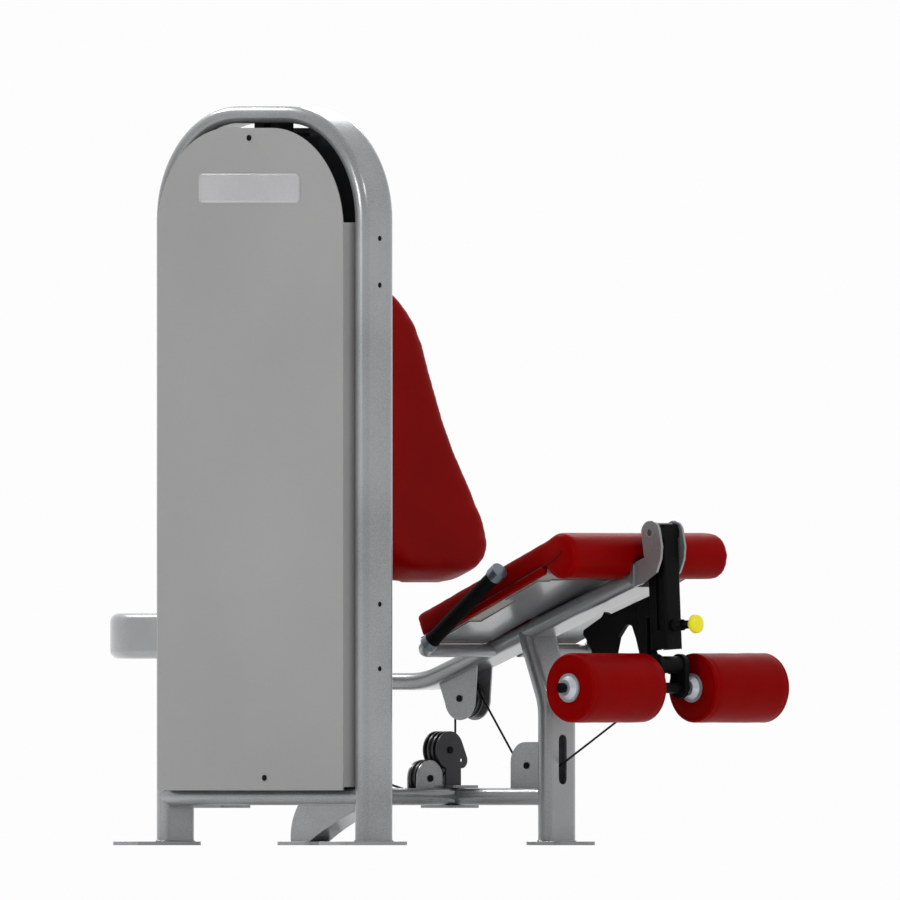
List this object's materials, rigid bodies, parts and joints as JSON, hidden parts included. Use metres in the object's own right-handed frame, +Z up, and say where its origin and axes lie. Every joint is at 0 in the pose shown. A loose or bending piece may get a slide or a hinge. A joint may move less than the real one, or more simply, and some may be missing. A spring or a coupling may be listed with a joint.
{
  "type": "leg extension machine",
  "caption": "Seated leg extension machine: guarded weight stack tower, inclined seat and back pad, shin rollers on a knee lever, and a cable drive over pulleys.",
  "frame": {"origin": "middle of the footprint, on the floor", "axes": "+X to the sitter's left, +Y to the rear of the machine, +Z up; the tower stands on the -X side"},
  "size_m": [1.241, 1.2612, 1.626],
  "materials": {
    "frame_paint": "silver grey metallic powder coat",
    "panel_paint": "satin light grey",
    "guard_dark": "satin dark grey",
    "badge": "blank black plate, no lettering",
    "vinyl": "dark red padded vinyl, fine grain",
    "black_metal": "black powder coat",
    "bright_steel": "zinc plated",
    "chrome": "polished",
    "cap_alu": "turned",
    "handle_cap": "anodised grey",
    "grip": "ribbed black",
    "bumper": "matte black",
    "yellow": "gloss yellow",
    "pulley": "black moulded nylon",
    "cable": "black nylon sleeve over steel",
    "weights": "dark painted iron",
    "board": "pale backed plywood",
    "bush": "bearing plastic"
  },
  "bodies": {
    "frame": {"back_mast": "frame_paint", "back_sleeve": "black_metal", "badge_plate": "badge", "base_plates": "frame_paint", "base_tube": "frame_paint", "cable_frame_run": "cable", "cable_lever_run": "cable", "cable_stack_run": "cable", "cross_tube": "frame_paint", "foot_plates": "frame_paint", "front_post": "frame_paint", "guard_screws": "bright_steel", "guide_rods": "chrome", "handle_caps": "handle_cap", "handle_grips": "grip", "handle_tubes": "frame_paint", "inner_guard": "guard_dark", "knee_axle": "bright_steel", "knee_bracket": "frame_paint", "outer_guard": "panel_paint", "pulley_axles": "bright_steel", "pulley_brackets": "frame_paint", "rear_hoop": "frame_paint", "rear_leg": "frame_paint", "resting_weights": "weights", "seat_beam": "frame_paint", "seat_board": "board", "seat_pad": "vinyl", "seat_pan": "frame_paint", "stack_bumpers": "bumper", "top_bracket": "black_metal", "tower_arch": "frame_paint", "tower_base_bar": "frame_paint", "turn_pulley_bracket": "guard_dark"},
    "lever": {"lever_tube": "black_metal", "knee_bushes": "bush", "lever_cam": "black_metal", "cable_tie": "bright_steel"},
    "lever_pin": {"lever_pop_pin": "yellow"},
    "shin_slide": {"shin_carriage": "black_metal"},
    "yoke": {"yoke_cheeks": "black_metal", "yoke_axles": "bright_steel"},
    "roller_left": {"roller_left_pad": "vinyl", "roller_left_hub": "cap_alu"},
    "roller_right": {"roller_right_pad": "vinyl", "roller_right_hub": "cap_alu"},
    "back_carriage": {"back_pad": "vinyl", "back_board": "board", "back_carriage": "black_metal"},
    "back_pin": {"back_pop_pin": "yellow"},
    "stack_lift": {"stack_head": "weights", "lifted_weights": "weights"},
    "selector_pin": {"selector_pin": "yellow"},
    "pulley_post_wheel": {"pulley_post": "pulley"},
    "pulley_beam_wheel": {"pulley_beam": "pulley"},
    "pulley_turn_wheel": {"pulley_turn": "pulley"},
    "pulley_low_wheel": {"pulley_low": "pulley"},
    "pulley_tower_wheel": {"pulley_tower": "pulley"},
    "pulley_top_rear_wheel": {"pulley_top_rear": "pulley"},
    "pulley_top_stack_wheel": {"pulley_top_stack": "pulley"}
  },
  "joints": [
    {"name": "knee", "type": "hinge", "parent": "frame", "child": "lever", "pos_m": [0.2845, -0.51939, 0.687], "axis": [-1, 0, 0], "range_deg": [0, 105], "deforming": ["cable_lever_run"]},
    {"name": "lever_pin_pull", "type": "slide", "parent": "lever", "child": "lever_pin", "axis": [0, -0.9986, 0.0523], "range_m": [0, 0.01], "stiffness_N_per_m": 400},
    {"name": "shin_adjust", "type": "slide", "parent": "lever", "child": "shin_slide", "axis": [0, -0.0523, -0.9986], "range_m": [0, 0.12]},
    {"name": "yoke_swing", "type": "hinge", "parent": "shin_slide", "child": "yoke", "pos_m": [0.2845, -0.53039, 0.397], "axis": [1, 0, 0], "range_deg": [-20, 12]},
    {"name": "roller_left_spin", "type": "hinge", "parent": "yoke", "child": "roller_left", "pos_m": [0.2845, -0.53039, 0.346], "axis": [1, 0, 0], "continuous": true},
    {"name": "roller_right_spin", "type": "hinge", "parent": "yoke", "child": "roller_right", "pos_m": [0.2845, -0.53039, 0.346], "axis": [1, 0, 0], "continuous": true},
    {"name": "back_adjust", "type": "slide", "parent": "frame", "child": "back_carriage", "axis": [0, -1, 0], "range_m": [0, 0.11]},
    {"name": "back_pin_pull", "type": "slide", "parent": "frame", "child": "back_pin", "axis": [0, 0, 1], "range_m": [0, 0.01], "stiffness_N_per_m": 400},
    {"name": "stack_travel", "type": "slide", "parent": "frame", "child": "stack_lift", "axis": [0, 0, 1], "range_m": [0, 0.54], "deforming": ["cable_stack_run"]},
    {"name": "selector_pull", "type": "slide", "parent": "stack_lift", "child": "selector_pin", "axis": [1, 0, 0], "range_m": [0, 0.12]},
    {"name": "pulley_post_spin", "type": "hinge", "parent": "frame", "child": "pulley_post_wheel", "pos_m": [0.2845, -0.11659, 0.1751], "axis": [-1, 0, 0], "range_deg": [0, 810]},
    {"name": "pulley_beam_spin", "type": "hinge", "parent": "frame", "child": "pulley_beam_wheel", "pos_m": [0.2845, 0.09261, 0.3227], "axis": [1, 0, 0], "range_deg": [0, 810]},
    {"name": "pulley_turn_spin", "type": "hinge", "parent": "frame", "child": "pulley_turn_wheel", "pos_m": [0.2465, 0.13061, 0.2094], "axis": [0, -1, 0], "range_deg": [0, 810]},
    {"name": "pulley_low_spin", "type": "hinge", "parent": "frame", "child": "pulley_low_wheel", "pos_m": [0.1905, 0.13061, 0.147], "axis": [0, -1, 0], "range_deg": [0, 810]},
    {"name": "pulley_tower_spin", "type": "hinge", "parent": "frame", "child": "pulley_tower_wheel", "pos_m": [-0.4355, 0.13061, 0.296], "axis": [0, -1, 0], "range_deg": [0, 810]},
    {"name": "pulley_top_rear_spin", "type": "hinge", "parent": "frame", "child": "pulley_top_rear_wheel", "pos_m": [-0.4735, 0.09261, 1.48], "axis": [-1, 0, 0], "range_deg": [0, 810]},
    {"name": "pulley_top_stack_spin", "type": "hinge", "parent": "frame", "child": "pulley_top_stack_wheel", "pos_m": [-0.4735, -0.02739, 1.48], "axis": [-1, 0, 0], "range_deg": [0, 810]}
  ],
  "couplings": [
    {"joint": "stack_travel", "follows": "knee", "m_per_rad": 0.2892},
    {"joint": "pulley_post_spin", "follows": "knee", "ratio": 7.61},
    {"joint": "pulley_beam_spin", "follows": "knee", "ratio": 7.61},
    {"joint": "pulley_turn_spin", "follows": "knee", "ratio": 7.61},
    {"joint": "pulley_low_spin", "follows": "knee", "ratio": 7.61},
    {"joint": "pulley_tower_spin", "follows": "knee", "ratio": 7.61},
    {"joint": "pulley_top_rear_spin", "follows": "knee", "ratio": 7.61},
    {"joint": "pulley_top_stack_spin", "follows": "knee", "ratio": 7.61}
  ]
}
